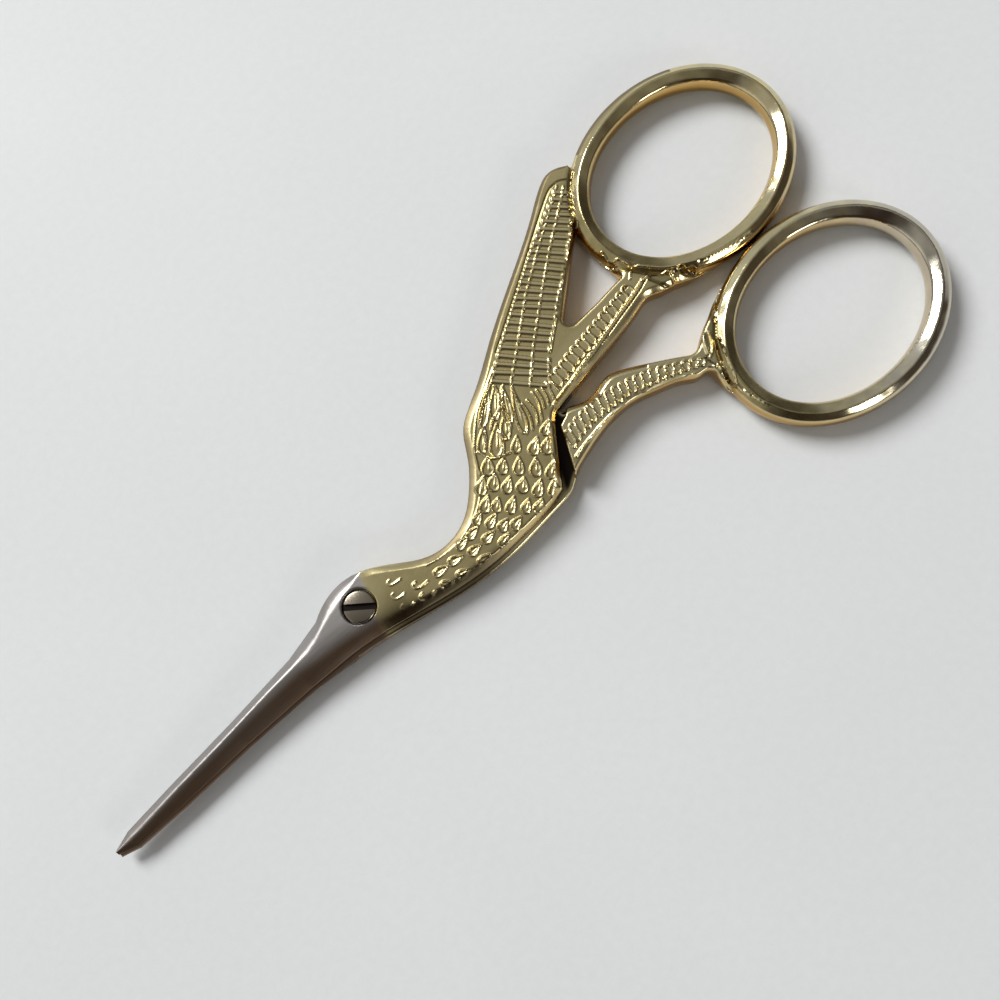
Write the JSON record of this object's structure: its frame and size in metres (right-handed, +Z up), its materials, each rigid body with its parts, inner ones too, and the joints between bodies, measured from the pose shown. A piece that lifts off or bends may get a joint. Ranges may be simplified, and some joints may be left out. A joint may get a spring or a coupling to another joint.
{
  "type": "stork embroidery scissors",
  "caption": "Stork embroidery scissors with a feathered bird body, ribbed legs, oval finger rings and fine steel blades on a slotted pivot screw.",
  "frame": {"origin": "pivot axis on the resting plane, at the middle of the screw's end face", "axes": "+Z up along the pivot axis, +X towards the finger rings, blades towards -X, front half's ring on the +Y side"},
  "size_m": [0.1149, 0.0478, 0.004],
  "materials": {
    "gold_plated_steel": "pale gold plating on the handles, bare satin steel on the blades",
    "polished_steel": "polished bare steel"
  },
  "bodies": {
    "back": {"back_half": "gold_plated_steel", "pivot_screw": "polished_steel"},
    "front": {"front_half": "gold_plated_steel"}
  },
  "joints": [
    {"name": "pivot", "type": "hinge", "parent": "back", "child": "front", "pos_m": [0, 0, 0], "axis": [0, 0, 1], "range_deg": [0, 60]}
  ]
}
